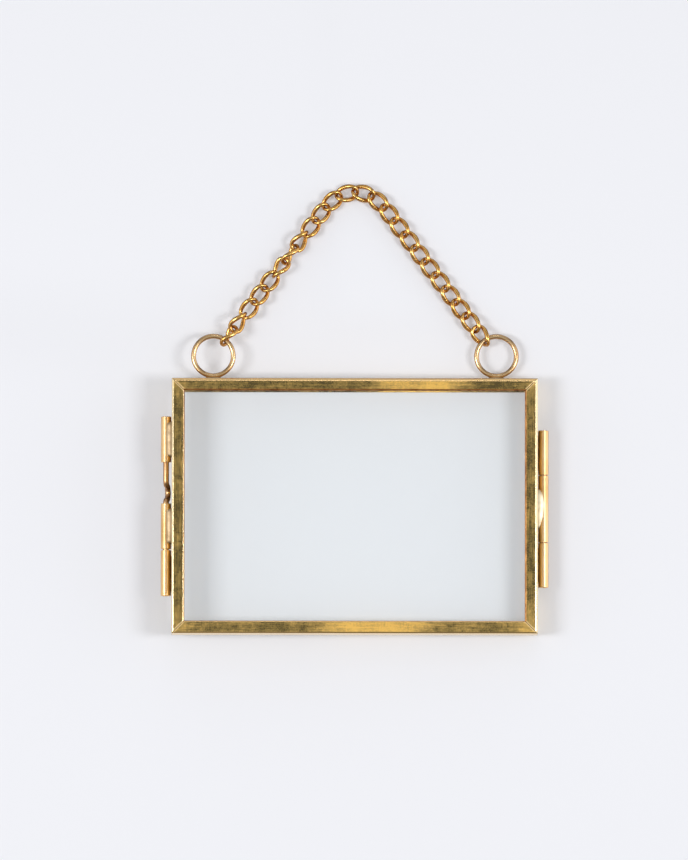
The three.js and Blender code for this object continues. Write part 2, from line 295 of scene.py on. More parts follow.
@dataclass(frozen=True)
class SheetBrass:
    """Thin rolled brass sheet, folded and left to age.

    Smooth brown tarnish makes the faces look dark, rubbed patches scatter the light and look gold, and the
    folds and mitre edges are worn to clean bright metal. Fine marks lie along and across the strip. A
    painted highlight lies on a stretch of the long rails, and the bottom rail is a little lighter than the
    top one.
    """

    name: str = "rolled_sheet_brass"
    # How far the tarnish is rubbed off, and the tone that it has there.
    tones: tuple[tuple[float, str], ...] = (
        (0.41, "#6f603e"), (0.5, "#937e4b"), (0.6, "#c4a25e"), (0.72, "#f1c468"))
    worn_upright: str = "#f4dfb4"
    worn_across: str = "#edc88e"
    filed: str = "#f0d195"
    wall: str = "#efd19b"
    wall_dull: str = "#cfa863"
    dull_from: Span = (0.58, 0.42)
    dull_share: float = 0.7
    skin_span: Span = (0.4, 0.7)
    skin_roughness: Span = (0.24, 0.47)
    filed_roughening: float = 0.15
    fold_roughness: float = 0.17
    patch: Marks = Marks(7.0, 0.2, detail=1.0, warp=0.3)
    spot: Marks = Marks(1.3, 0.19)
    wave: Marks = Marks(14.0, detail=1.0)
    wave_depth_mm: float = 0.2
    # Real grain and rolling marks are finer than a pixel, so they are drawn as coarse as they need to show.
    grain: Marks = Marks(0.4, 0.32, detail=3.0, roughness=0.65)
    grain_depth_mm: float = 0.01
    chatter: Marks = Marks(0.4, 0.06, across=14.0)
    streak: Marks = Marks(0.42, 0.23, along=14.0)
    # Where the rails lie, where hands, the file and the soldering flame went on them, where the painted
    # highlight lies on the long rails, and how much lighter the bottom rail is made.
    half_long: float = 50.0 * MM
    half_short: float = 35.0 * MM
    middle: float = -86.66 * MM
    end_length: float = 9.0 * MM
    end_gain: float = 0.05
    painted_highlight_at: float = 25.9 * MM
    painted_highlight_slant: float = 0.167
    painted_highlight_reach: Span = (5.4 * MM, 18.0 * MM)
    painted_highlight_gain: float = 0.17
    low_blur: float = 1.0 * MM
    low_gain: float = 0.035
    filed_reach: Span = (0.25 * MM, 0.7 * MM)
    fold_facing: Span = (0.995, 0.965)
    wall_facing: Span = (0.45, 0.1)
    heat_reach: Span = (22.0 * MM, 32.0 * MM)

    def make(self, run: Run) -> Material:
        """Build the material.

        Args:
            run: Which way the strip runs.

        Returns:
            The material.
        """
        material, shader = new_surface(f"{self.name}_{run.name.lower()}", {"Metallic": 1.0})
        tree = material.node_tree
        coordinates = add_node(tree, "TexCoord")
        turned = add_node(
            tree, "Mapping", {"Rotation": run.value}, {"Vector": coordinates.outputs["Object"]})
        place = turned.outputs["Vector"]
        grain = self.grain.add(tree, place)
        skin = self._skin(tree, run, place, grain)
        wear, wall = self._wear(tree, run, place, coordinates.outputs["Normal"])
        filed = self._filed(tree, coordinates.outputs["Object"])
        ramp = add_node(tree, "ValToRGB", links={"Fac": skin})
        set_stops(ramp, self.tones)
        colour = ramp.outputs["Color"]
        worn = self.worn_across if run is Run.ACROSS else self.worn_upright
        dulled = self._dulled(tree, skin, wall)
        for share, over in ((filed, self.filed), (wear, worn), (wall, self.wall), (dulled, self.wall_dull)):
            mixed = add_node(
                tree, "Mix", {"data_type": "RGBA", COLOUR_OVER: linear(over)},
                {0: share, COLOUR_UNDER: colour})
            colour = mixed.outputs[COLOUR_MIXED]
        tree.links.new(colour, shader.inputs["Base Color"])
        matt = weighed(tree, ((skin, 1.0), (filed, self.filed_roughening)))
        roughness = add_node(tree, "MapRange", smooth(self.skin_span, self.skin_roughness), {"Value": matt})
        polished = add_node(
            tree, "Mix", {"data_type": "FLOAT", NUMBER_OVER: self.fold_roughness},
            {0: wear, NUMBER_UNDER: roughness.outputs["Result"]})
        tree.links.new(polished.outputs[NUMBER_MIXED], shader.inputs["Roughness"])
        flat = add_node(tree, "Math", {"operation": "SUBTRACT", 0: 1.0}, {1: wear}).outputs["Value"]
        waves = add_node(
            tree, "Bump", {"Distance": self.wave_depth_mm * MM},
            {"Height": self.wave.add(tree, place), "Strength": flat})
        grained = add_node(
            tree, "Bump", {"Distance": self.grain_depth_mm * MM},
            {"Height": grain, "Strength": flat, "Normal": waves.outputs["Normal"]})
        tree.links.new(grained.outputs["Normal"], shader.inputs["Normal"])
        return material

    def _skin(self, tree: Tree, run: Run, place: Socket, grain: Socket) -> Socket:
        """Mix the marks in the skin, rub it at the filed ends, lay a painted highlight along the long rails
        and make the bottom rail a little lighter.

        Args:
            tree: The node tree.
            run: Which way the strip runs.
            place: The coordinates along the strip.
            grain: The finest marks.

        Returns:
            How far the tarnish is rubbed off, with the painted highlight added, from 0 to 1 around 0.5.
        """
        parts = [(marks.add(tree, place), marks.share) for marks in (self.patch, self.spot)]
        parts.append((grain, self.grain.share))
        parts += [(marks.add(tree, place), marks.share) for marks in (self.chatter, self.streak)]
        rubbed = [(weighed(tree, parts), 1.0), (self._ends(tree, run, place), self.end_gain)]
        # The long rails take a painted highlight along a stretch, and the bottom rail is made a little
        # lighter.
        if run is Run.ACROSS:
            rubbed += [(self._painted_highlight(tree, place), self.painted_highlight_gain), (self._low(tree, place), self.low_gain)]
        return weighed(tree, rubbed)

    def _dulled(self, tree: Tree, skin: Socket, wall: Socket) -> Socket:
        """Find where the outer walls kept some of their tarnish.

        Args:
            tree: The node tree.
            skin: How far the tarnish is rubbed off.
            wall: How far the place is a worn wall.

        Returns:
            How far the place is dull.
        """
        left_over = add_node(
            tree, "MapRange", smooth(self.dull_from, (0.0, self.dull_share)), {"Value": skin})
        dulled = add_node(
            tree, "Math", {"operation": "MULTIPLY"}, {0: wall, 1: left_over.outputs["Result"]})
        return dulled.outputs["Value"]

    def _from_middle(self, tree: Tree, run: Run, place: Socket) -> Socket:
        """Measure along a rail from its middle.

        Args:
            tree: The node tree.
            run: Which way the rail runs.
            place: The coordinates along the rail.

        Returns:
            How far the place is from the middle.
        """
        along = add_node(tree, "SeparateXYZ", links={"Vector": place})
        middle = 0.0 if run is Run.ACROSS else self.middle
        away = add_node(tree, "Math", {"operation": "SUBTRACT", 1: middle}, {0: along.outputs["X"]})
        far = add_node(tree, "Math", {"operation": "ABSOLUTE"}, {0: away.outputs["Value"]})
        return far.outputs["Value"]

    def _ends(self, tree: Tree, run: Run, place: Socket) -> Socket:
        """Rub the rails' ends, where the mitres were filed.

        Args:
            tree: The node tree.
            run: Which way the rail runs.
            place: The coordinates along the rail.

        Returns:
            How far the place is rubbed.
        """
        half = self.half_long if run is Run.ACROSS else self.half_short
        rubbed = add_node(
            tree, "MapRange", smooth((half - self.end_length, half)),
            {"Value": self._from_middle(tree, run, place)})
        return rubbed.outputs["Result"]

    def _painted_highlight(self, tree: Tree, place: Socket) -> Socket:
        """Lay a painted highlight on a stretch of the long rails, further right on the top rail than on the
        bottom one.

        Args:
            tree: The node tree.
            place: The coordinates along the rail.

        Returns:
            How far the place is rubbed.
        """
        slanted = add_node(
            tree, "VectorMath", {"operation": "DOT_PRODUCT", 1: (1.0, 0.0, -self.painted_highlight_slant)}, {0: place})
        away = add_node(
            tree, "Math", {"operation": "SUBTRACT", 1: self.painted_highlight_at}, {0: slanted.outputs["Value"]})
        far = add_node(tree, "Math", {"operation": "ABSOLUTE"}, {0: away.outputs["Value"]})
        near = add_node(
            tree, "MapRange", smooth(self.painted_highlight_reach, (1.0, 0.0)), {"Value": far.outputs["Value"]})
        return near.outputs["Result"]

    def _low(self, tree: Tree, place: Socket) -> Socket:
        """Make the bottom rail a little lighter than the top one.

        Args:
            tree: The node tree.
            place: The coordinates along the rail.

        Returns:
            1 on the bottom rail and 0 on the top one.
        """
        height = add_node(tree, "SeparateXYZ", links={"Vector": place})
        halves = (self.middle - self.low_blur, self.middle + self.low_blur)
        low = add_node(tree, "MapRange", smooth(halves, (1.0, 0.0)), {"Value": height.outputs["Z"]})
        return low.outputs["Result"]

    def _filed(self, tree: Tree, place: Socket) -> Socket:
        """Find the narrow strip along each mitre where the joint was soldered and filed.

        Args:
            tree: The node tree.
            place: The coordinates in the shared frame.

        Returns:
            How far the place was filed.
        """
        centred = add_node(
            tree, "VectorMath", {"operation": "SUBTRACT", 1: (0.0, 0.0, self.middle)}, {0: place})
        size = add_node(tree, "VectorMath", {"operation": "ABSOLUTE"}, {0: centred.outputs["Vector"]})
        across = add_node(
            tree, "VectorMath", {"operation": "DOT_PRODUCT", 1: (1.0, 0.0, -1.0)},
            {0: size.outputs["Vector"]})
        off = add_node(
            tree, "Math", {"operation": "SUBTRACT", 1: self.half_long - self.half_short},
            {0: across.outputs["Value"]})
        far = add_node(tree, "Math", {"operation": "ABSOLUTE"}, {0: off.outputs["Value"]})
        filed = add_node(
            tree, "MapRange", smooth(self.filed_reach, (1.0, 0.0)), {"Value": far.outputs["Value"]})
        return filed.outputs["Result"]

    def _wear(self, tree: Tree, run: Run, place: Socket, normal: Socket) -> tuple[Socket, Socket]:
        """Find what is worn clean: the folds and the outer walls, except where soldering browned a wall.

        Args:
            tree: The node tree.
            run: Which way the strip runs.
            place: The coordinates along the strip.
            normal: Which way the surface faces.

        Returns:
            How far the skin is worn off, and how far that is a wall.
        """
        size = add_node(tree, "VectorMath", {"operation": "ABSOLUTE"}, {0: normal})
        facing = add_node(tree, "SeparateXYZ", links={"Vector": size.outputs["Vector"]}).outputs["Y"]
        folds = add_node(tree, "MapRange", smooth(self.fold_facing), {"Value": facing}).outputs["Result"]
        turned = add_node(tree, "MapRange", smooth(self.wall_facing), {"Value": facing}).outputs["Result"]
        if run is Run.ACROSS:
            return folds, turned
        brown = add_node(
            tree, "MapRange", smooth(self.heat_reach, (1.0, 0.0)),
            {"Value": self._from_middle(tree, run, place)})
        browned = add_node(
            tree, "Math", {"operation": "MULTIPLY"}, {0: turned, 1: brown.outputs["Result"]})
        worn, wall = (
            add_node(tree, "Math", {"operation": "SUBTRACT"}, {0: whole, 1: browned.outputs["Value"]})
            for whole in (folds, turned))
        return worn.outputs["Value"], wall.outputs["Value"]


@dataclass(frozen=True)
class WireBrass:
    """Drawn brass, as tube or wire, or wiped solder: a nearly clean skin with a little brown in it.

    Fine lines run along it, drawn as coarse as they need to show, and the brown spots are duller than the
    metal. A flank colour, where one is given, is painted shade on the wire's sides.
    """

    name: str
    clean: str
    dull: str
    dark: str
    roughness: float
    dull_roughness: float
    blotch_mm: float
    line_mm: float
    line_stretch: float
    lump_mm: float
    lump_depth_mm: float
    # The flank colour is painted shade: it darkens the wire's sides as if they mirrored the shaded sheet
    # they lie on.
    flank: str | None = None
    flank_shade_facing: Span = (0.92, 0.5)
    flank_shade_share: float = 0.9
    blotch_share: float = 0.7
    line_share: float = 0.3
    tone_at: tuple[float, float, float] = (0.34, 0.45, 0.58)
    skin_span: Span = (0.36, 0.6)

    def make(self, run: Run) -> Material:
        """Build the material.

        Args:
            run: Which way the lines run.

        Returns:
            The material.
        """
        material, shader = new_surface(f"{self.name}_{run.name.lower()}", {"Metallic": 1.0})
        tree = material.node_tree
        coordinates = add_node(tree, "TexCoord")
        turned = add_node(
            tree, "Mapping", {"Rotation": run.value}, {"Vector": coordinates.outputs["Object"]})
        place = turned.outputs["Vector"]
        blotch = Marks(self.blotch_mm, self.blotch_share, detail=4.0, roughness=0.6)
        line = Marks(self.line_mm, self.line_share, along=self.line_stretch)
        skin = weighed(tree, [(marks.add(tree, place), marks.share) for marks in (blotch, line)])
        ramp = add_node(tree, "ValToRGB", links={"Fac": skin})
        set_stops(ramp, list(zip(self.tone_at, (self.dark, self.dull, self.clean))))
        colour = ramp.outputs["Color"]
        if self.flank:
            mixed = add_node(
                tree, "Mix", {"data_type": "RGBA", COLOUR_OVER: linear(self.flank)},
                {0: self._flank_shade(tree, coordinates.outputs["Normal"]), COLOUR_UNDER: colour})
            colour = mixed.outputs[COLOUR_MIXED]
        tree.links.new(colour, shader.inputs["Base Color"])
        roughness = add_node(
            tree, "MapRange", smooth(self.skin_span, (self.dull_roughness, self.roughness)), {"Value": skin})
        tree.links.new(roughness.outputs["Result"], shader.inputs["Roughness"])
        lumps = add_node(
            tree, "Bump", {"Strength": 1.0, "Distance": self.lump_depth_mm * MM},
            {"Height": Marks(self.lump_mm, detail=1.0).add(tree, place)})
        tree.links.new(lumps.outputs["Normal"], shader.inputs["Normal"])
        return material

    def _flank_shade(self, tree: Tree, normal: Socket) -> Socket:
        """Find the sides of the wire, where painted shade darkens it.

        Args:
            tree: The node tree.
            normal: Which way the surface faces.

        Returns:
            How far the painted shade covers the place.
        """
        size = add_node(tree, "VectorMath", {"operation": "ABSOLUTE"}, {0: normal})
        facing = add_node(tree, "SeparateXYZ", links={"Vector": size.outputs["Vector"]})
        flank = add_node(
            tree, "MapRange", smooth(self.flank_shade_facing, (0.0, self.flank_shade_share)),
            {"Value": facing.outputs["Y"]})
        return flank.outputs["Result"]


# Drawn tube: clean and satin, with very fine lines along it.
TUBE_BRASS = WireBrass(
    name="drawn_tube_brass", clean="#ecc691", dull="#e6bc84", dark="#d6a86c", roughness=0.29,
    dull_roughness=0.31, blotch_mm=9.0, line_mm=0.3, line_stretch=60.0, lump_mm=14.0, lump_depth_mm=0.002)
# Sheet brass on the hems' lips next to the glass: brown and dull, a painted shade for the dark gap between
# the hem and the glass.
HEM_SHADE_BRASS = WireBrass(
    name="hem_shade_sheet_brass", clean="#c48a50", dull="#a0683a", dark="#74451f", roughness=0.35,
    dull_roughness=0.5, blotch_mm=2.0, line_mm=0.3, line_stretch=8.0, lump_mm=3.0, lump_depth_mm=0.01)
# Plated chain wire: the deepest yellow, with painted shade in brown on its flanks.
CHAIN_BRASS = WireBrass(
    name="plated_chain_brass", clean="#f3c376", dull="#eab665", dark="#d79e50", roughness=0.24,
    dull_roughness=0.28, blotch_mm=5.0, line_mm=0.6, line_stretch=3.0, lump_mm=6.0, lump_depth_mm=0.003,
    flank="#a26a2e")
# Ring wire: drawn round wire, tan and slightly coppery, with painted shade in brown on its sides.
RING_BRASS = WireBrass(
    name="drawn_ring_wire", clean="#e9c797", dull="#e0ba89", dark="#cfa577", roughness=0.24,
    dull_roughness=0.27, blotch_mm=7.0, line_mm=0.5, line_stretch=4.0, lump_mm=9.0, lump_depth_mm=0.002,
    flank="#a2764a")
# Bolt and pin wire: redder than the rings, with painted shade in brown on its sides.
BOLT_BRASS = WireBrass(
    name="drawn_bolt_wire", clean="#ecc293", dull="#e3b584", dark="#cd9b68", roughness=0.27,
    dull_roughness=0.31, blotch_mm=6.0, line_mm=0.3, line_stretch=20.0, lump_mm=8.0, lump_depth_mm=0.002,
    flank="#93653c")
# Tin solder run into a groove: greyish tan, satin, slightly lumpy.
SOLDER = WireBrass(
    name="wiped_tin_solder", clean="#cbb391", dull="#bea47f", dark="#a98c66", roughness=0.46,
    dull_roughness=0.5, blotch_mm=3.5, line_mm=0.8, line_stretch=6.0, lump_mm=3.0, lump_depth_mm=0.02)
# Tin solder smeared over a tube: pale cream, matt, streaked along the tube.
SMEARED_SOLDER = WireBrass(
    name="smeared_tin_solder", clean="#fbf1da", dull="#f3e3c2", dark="#dcc49a", roughness=0.5,
    dull_roughness=0.55, blotch_mm=4.0, line_mm=0.5, line_stretch=12.0, lump_mm=3.0, lump_depth_mm=0.02)


@dataclass(frozen=True)
class FloatGlass:
    """Clear float glass: flat, polished by the melt, faintly green through its thickness."""

    name: str = "float_glass"
    tint: str = "#fbfdfd"
    refraction: float = 1.52
    roughness: float = 0.0

    def make(self) -> Material:
        """Build the material.

        Returns:
            The material.
        """
        material, _ = new_surface(self.name, {
            "Base Color": linear(self.tint), "Metallic": 0.0, "Roughness": self.roughness,
            "IOR": self.refraction, "Transmission Weight": 1.0})
        return material


def add_object(name: str, data: bpy.types.ID) -> bpy.types.Object:
    """Add an object to the scene.

    Args:
        name: The object's name.
        data: Its mesh, light or camera.

    Returns:
        The new object.
    """
    added = bpy.data.objects.new(name, data)
    bpy.context.scene.collection.objects.link(added)
    return added


class Bench:
    """Turns finished meshes into pieces that ride on CAD bodies in place of CAD nodes."""

    def __init__(self, frame: dict[str, Any]) -> None:
        """Note which body and which material slot each node has.

        Args:
            frame: The loaded CAD frame.
        """
        record = frame["record"]
        self.nodes: dict[str, bpy.types.Object] = frame["nodes"]
        self.joints: dict[str, dict[str, Any]] = {joint["name"]: joint for joint in frame["joints"]}
        self._body = {node: body for body, nodes in record["behaviour"]["bodies"].items() for node in nodes}
        self._slot = {part["node"]: part["material_slot"] for part in record["subparts"]}

    def place(self, bm: Mesh, node: str, material: Material, flat_faces: bool = False) -> bpy.types.Object:
        """Make a piece from a mesh, in place of a CAD node.

        Args:
            bm: The finished shape, in metres in the shared frame. It is freed.
            node: The CAD node that the piece stands for.
            material: The piece's material.
            flat_faces: True where wide flat faces meet narrow round edges, so that the faces shade flat.

        Returns:
            The new object.
        """
        mesh = bpy.data.meshes.new(f"{node}_piece")
        bmesh.ops.recalc_face_normals(bm, faces=bm.faces)
        bm.to_mesh(mesh)
        bm.free()
        mesh.shade_smooth()
        mesh.set_sharp_from_angle(angle=math.radians(SHARP_DEG))
        mesh.materials.append(material)
        piece = add_object(f"{node}_piece", mesh)
        if flat_faces:
            weighting = piece.modifiers.new("flat_faces", "WEIGHTED_NORMAL")
            weighting.keep_sharp = True
        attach(piece, self._body[node])
        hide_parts(node)
        LOG.info("%s: %d faces on %s", piece.name, len(mesh.polygons), self._body[node])
        return piece


def extruded(outline: Sequence[Sequence[float]], reach: Vector) -> Mesh:
    """Draw a flat outline out into a solid.

    Args:
        outline: The outline's corners.
        reach: Which way and how far it is drawn.

    Returns:
        The solid.
    """
    bm = bmesh.new()
    face = bm.faces.new([bm.verts.new(corner) for corner in outline])
    grown = bmesh.ops.extrude_face_region(bm, geom=[face])["geom"]
    far = [item for item in grown if isinstance(item, bmesh.types.BMVert)]
    bmesh.ops.translate(bm, verts=far, vec=reach)
    return bm


def round_edges(
    bm: Mesh, edges: Sequence[bmesh.types.BMEdge], radius: float, steps: int, clamp: bool = False,
) -> None:
    """Round edges.

    Args:
        bm: The mesh.
        edges: The edges to round.
        radius: How far the rounding reaches from each edge.
        steps: How many faces go round it.
        clamp: True where the rounding has to stop short of its neighbours.
    """
    bmesh.ops.bevel(
        bm, geom=edges, affect="EDGES", offset=radius, offset_type="OFFSET", segments=steps, profile=0.5,
        material=-1, clamp_overlap=clamp)


def is_level(edge: bmesh.types.BMEdge) -> bool:
    """Tell whether both ends of an edge lie at one height."""
    return abs(edge.verts[0].co.z - edge.verts[1].co.z) < TOUCHING


def frames_along(path: Sequence[Vector]) -> list[Matrix]:
    """Give frames that follow an open path without turning about it.

    Args:
        path: Points of the path.

    Returns:
        One matrix for each point, with Z along the path.
    """
    frames = []
    side = Vector()
    for index, point in enumerate(path):
        before = path[max(index - 1, 0)]
        after = path[min(index + 1, len(path) - 1)]
        ahead = (after - before).normalized()
        side = ahead.orthogonal() if index == 0 else side - ahead * side.dot(ahead)
        side.normalize()
        frame = Matrix((side, ahead.cross(side), ahead)).transposed().to_4x4()
        frame.translation = point
        frames.append(frame)
    return frames


def draw_wire(
    path: Sequence[Vector], diameters: Sequence[float], sides: int, end_radius: float, end_steps: int = 3,
) -> Mesh:
    """Draw a round wire along an open path, with rounded ends.

    Args:
        path: Points of the centre line.
        diameters: The wire's diameter at each point.
        sides: How many sides its section has.
        end_radius: The radius of the rounding at its two ends.
        end_steps: How many faces go round that rounding.

    Returns:
        The wire.
    """
    bm = bmesh.new()
    frames = [frame @ Matrix.Scale(wide, 4) for frame, wide in zip(frames_along(path), diameters)]
    bmesh.ops.create_circle(bm, cap_ends=True, radius=0.5, segments=sides, matrix=frames[0])
    ring = bm.edges[:]
    rims = list(ring)
    for before, after in zip(frames, frames[1:]):
        grown = bmesh.ops.extrude_edge_only(bm, edges=ring)["geom"]
        verts = [item for item in grown if isinstance(item, bmesh.types.BMVert)]
        fresh = set(verts)
        ring = [item for item in grown
                if isinstance(item, bmesh.types.BMEdge) and fresh.issuperset(item.verts)]
        bmesh.ops.transform(bm, matrix=after @ before.inverted(), verts=verts, space=Matrix())
    bmesh.ops.edgeloop_fill(bm, edges=ring)
    round_edges(bm, [*rims, *ring], end_radius, end_steps)
    return bm


@dataclass
class GlazedLeaf:
    """One leaf of the frame: four mitred rails of folded sheet round a pane of glass."""

    name: Leaf
    sheet: float = 0.5 * MM
    hem_depth: float = 0.9 * MM
    parting_flange: float = 2.4 * MM
    hem_radius: float = 0.45 * MM
    parting_radius: float = 0.25 * MM
    inner_radius: float = 0.15 * MM
    mitre_gap: float = 0.03 * MM
    mitre_edge: float = 0.28 * MM
    pane_edge: float = 0.15 * MM
    fold_steps: int = 8
    edge_steps: int = 2
    fold_radius: dict[Side, float] = field(default_factory=lambda: {
        Side.TOP: 1.1 * MM, Side.RIGHT: 0.8 * MM, Side.BOTTOM: 0.55 * MM, Side.LEFT: 0.6 * MM})
    # How far the lip has to turn to the opening before it takes the painted hem shade.
    hem_shade_from: dict[Side, float] = field(default_factory=lambda: {
        Side.TOP: 0.09, Side.RIGHT: 0.2, Side.BOTTOM: 0.7, Side.LEFT: 0.45})

    def build(self, bench: Bench, sheet: dict[Run, Material], hem_shade: Material, glass: Material) -> None:
        """Build the rails and the pane.

        Args:
            bench: Where pieces are placed.
            sheet: The rails' material for each way a rail runs.
            hem_shade: The material of the hems' lips, next to the glass, brown with painted shade.
            glass: The pane's material.
        """
        lowest, highest = self._outer_box()
        middle = (lowest + highest) / 2
        width = highest.x - lowest.x
        height = highest.z - lowest.z
        faces_back = self.name is Leaf.BACK
        facing = Matrix.Rotation(math.pi if faces_back else 0.0, 4, "Z")
        face = Vector((middle.x, highest.y if faces_back else lowest.y, middle.z))
        near, far = (Side.LEFT, Side.RIGHT) if faces_back else (Side.RIGHT, Side.LEFT)
        rails = (
            (Side.TOP, width, height / 2, 0.0, Run.ACROSS),
            (near, height, width / 2, math.pi / 2, Run.UPRIGHT),
            (Side.BOTTOM, width, height / 2, math.pi, Run.ACROSS),
            (far, height, width / 2, -math.pi / 2, Run.UPRIGHT),
        )
        for side, length, out, turn, run in rails:
            bm = self._rail(length, highest.y - lowest.y, self.fold_radius[side])
            self._shade_hem(bm, self.hem_shade_from[side])
            turned = Matrix.Rotation(turn, 4, "Y") @ Matrix.Translation((0, 0, out))
            place = Matrix.Translation(face) @ facing @ turned
            bmesh.ops.transform(bm, matrix=place, verts=bm.verts, space=Matrix())
            rail = bench.place(bm, f"{self.name}_rail_{side}", sheet[run], flat_faces=True)
            rail.data.materials.append(hem_shade)
        self._pane(bench, glass)

    def _outer_box(self) -> tuple[Vector, Vector]:
        """Measure the leaf with its rails drawn together at the mitres.

        Returns:
            Its lowest and its highest corner.
        """
        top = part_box(f"{self.name}_rail_top")
        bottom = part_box(f"{self.name}_rail_bottom")
        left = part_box(f"{self.name}_rail_left")
        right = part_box(f"{self.name}_rail_right")
        return (Vector((left[0].x, top[0].y, bottom[0].z)), Vector((right[1].x, top[1].y, top[1].z)))

    def _section(self, depth: float, fold_radius: float) -> list[tuple[float, float, float]]:
        """Give the folded section of a rail.

        Args:
            depth: The leaf's depth.
            fold_radius: The radius of the fold between the face and the outer wall.

        Returns:
            For each corner, how far inwards and how deep behind the face it lies, and the radius of its
            fold, which is 0 at a cut edge.
        """
        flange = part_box(f"{self.name}_rail_top")[1].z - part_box(f"{self.name}_rail_top")[0].z
        lip = flange - self.sheet
        inside = depth - self.sheet
        return [
            (0, depth, self.parting_radius), (0, 0, fold_radius), (flange, 0, self.hem_radius),
            (flange, self.hem_depth, 0), (lip, self.hem_depth, 0), (lip, self.sheet, self.inner_radius),
            (self.sheet, self.sheet, self.inner_radius), (self.sheet, inside, self.inner_radius),
            (self.parting_flange, inside, 0), (self.parting_flange, depth, 0),
        ]

    def _rail(self, length: float, depth: float, fold_radius: float) -> Mesh:
        """Fold one rail along X, with its face on y = 0, its outer wall on z = 0 and mitred ends.

        Args:
            length: The rail's outer length.
            depth: The leaf's depth.
            fold_radius: The radius of the fold between its face and its outer wall.

        Returns:
            The rail.
        """
        section = self._section(depth, fold_radius)
        bm = extruded([(-length / 2, back, -inward) for inward, back, _ in section], Vector((length, 0, 0)))
        for inward, back, radius in section:
            if radius:
                self._round_fold(bm, Vector((0, back, -inward)), radius)
        for end in (1, -1):
            self._mitre(bm, end, length)
        return bm

    def _shade_hem(self, bm: Mesh, hem_shade_from: float) -> None:
        """Give the hem's lip the second material, brown with painted shade.

        Args:
            bm: The rail, not yet turned to its side.
            hem_shade_from: How far a face has to turn to the opening to take the painted shade.
        """
        bmesh.ops.recalc_face_normals(bm, faces=bm.faces)
        edge = min(vert.co.z for vert in bm.verts)
        for face in bm.faces:
            on_hem = face.calc_center_median().z < edge + self.sheet
            if on_hem and face.normal.z < -hem_shade_from:
                face.material_index = 1

    def _round_fold(self, bm: Mesh, corner: Vector, radius: float) -> None:
        """Round the lengthwise edge that runs through a corner of the section.

        Args:
            bm: The rail.
            corner: The corner.
            radius: The radius of the fold.
        """
        def on_corner(vert: bmesh.types.BMVert) -> bool:
            """Tell whether a vertex lies on the corner's line."""
            return (vert.co.yz - corner.yz).length < TOUCHING

        edges = [edge for edge in bm.edges if all(on_corner(vert) for vert in edge.verts)]
        round_edges(bm, edges, radius, self.fold_steps)

    def _mitre(self, bm: Mesh, end: int, length: float) -> None:
        """Cut one end at 45 degrees, close it and break its edge.

        Args:
            bm: The rail.
            end: 1 for the end at +X, -1 for the other.
            length: The rail's outer length.
        """
        cut = bmesh.ops.bisect_plane(
            bm, geom=[*bm.verts, *bm.edges, *bm.faces], plane_co=(end * (length - self.mitre_gap) / 2, 0, 0),
            plane_no=(end, 0, -1), clear_outer=True)["geom_cut"]
        rim = [item for item in cut if isinstance(item, bmesh.types.BMEdge)]
        bmesh.ops.edgeloop_fill(bm, edges=rim)
        round_edges(bm, rim, self.mitre_edge, self.edge_steps, clamp=True)

    def _pane(self, bench: Bench, glass: Material) -> None:
        """Cut the pane and break its edges. The light passes it without a shadow.

        Args:
            bench: Where pieces are placed.
            glass: The pane's material.
        """
        node = f"{self.name}_glass"
        lowest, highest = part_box(node)
        bm = bmesh.new()
        place = Matrix.Translation((lowest + highest) / 2) @ Matrix.Diagonal((*(highest - lowest), 1))
        bmesh.ops.create_cube(bm, size=1.0, matrix=place)
        round_edges(bm, bm.edges[:], self.pane_edge, self.edge_steps)
        pane = bench.place(bm, node, glass, flat_faces=True)
        pane.visible_shadow = False
        pane.visible_diffuse = False


@dataclass(frozen=True)
class SolderRun:
    """A run of solder: its node, how far round its tube it climbs and how blunt its two ends are."""

    node: str
    metal: Material
    crown_deg: float = 84.0
    low_end: float = 12.0
    high_end: float = 12.0


